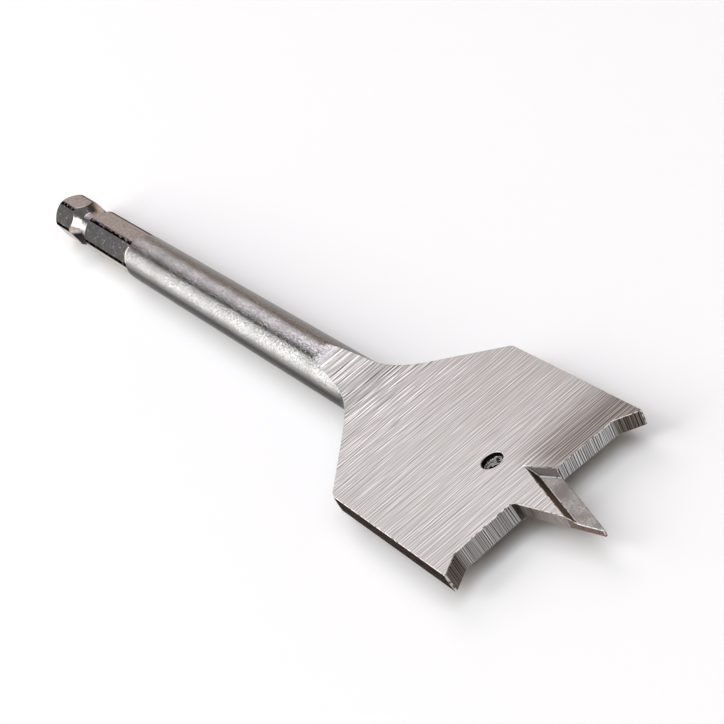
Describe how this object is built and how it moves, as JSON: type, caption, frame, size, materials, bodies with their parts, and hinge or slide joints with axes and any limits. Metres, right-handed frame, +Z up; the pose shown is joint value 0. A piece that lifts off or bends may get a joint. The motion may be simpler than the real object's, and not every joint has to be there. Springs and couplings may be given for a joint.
{
  "type": "spade drill bit",
  "caption": "Flat spade bit for boring wood: hex shank with a retaining groove, round shaft, and a ground blade with spurs and a gashed centre point.",
  "frame": {"origin": "centre of the hex shank's rear end face", "axes": "+X along the drilling axis towards the tip, +Y across the blade, +Z up out of the blade's flat face"},
  "size_m": [0.152, 0.028, 0.007],
  "materials": {
    "ground_steel": "satin, ground across the blade and blasted on the shank"
  },
  "bodies": {
    "root": {"spade_bit": "ground_steel"}
  },
  "joints": []
}
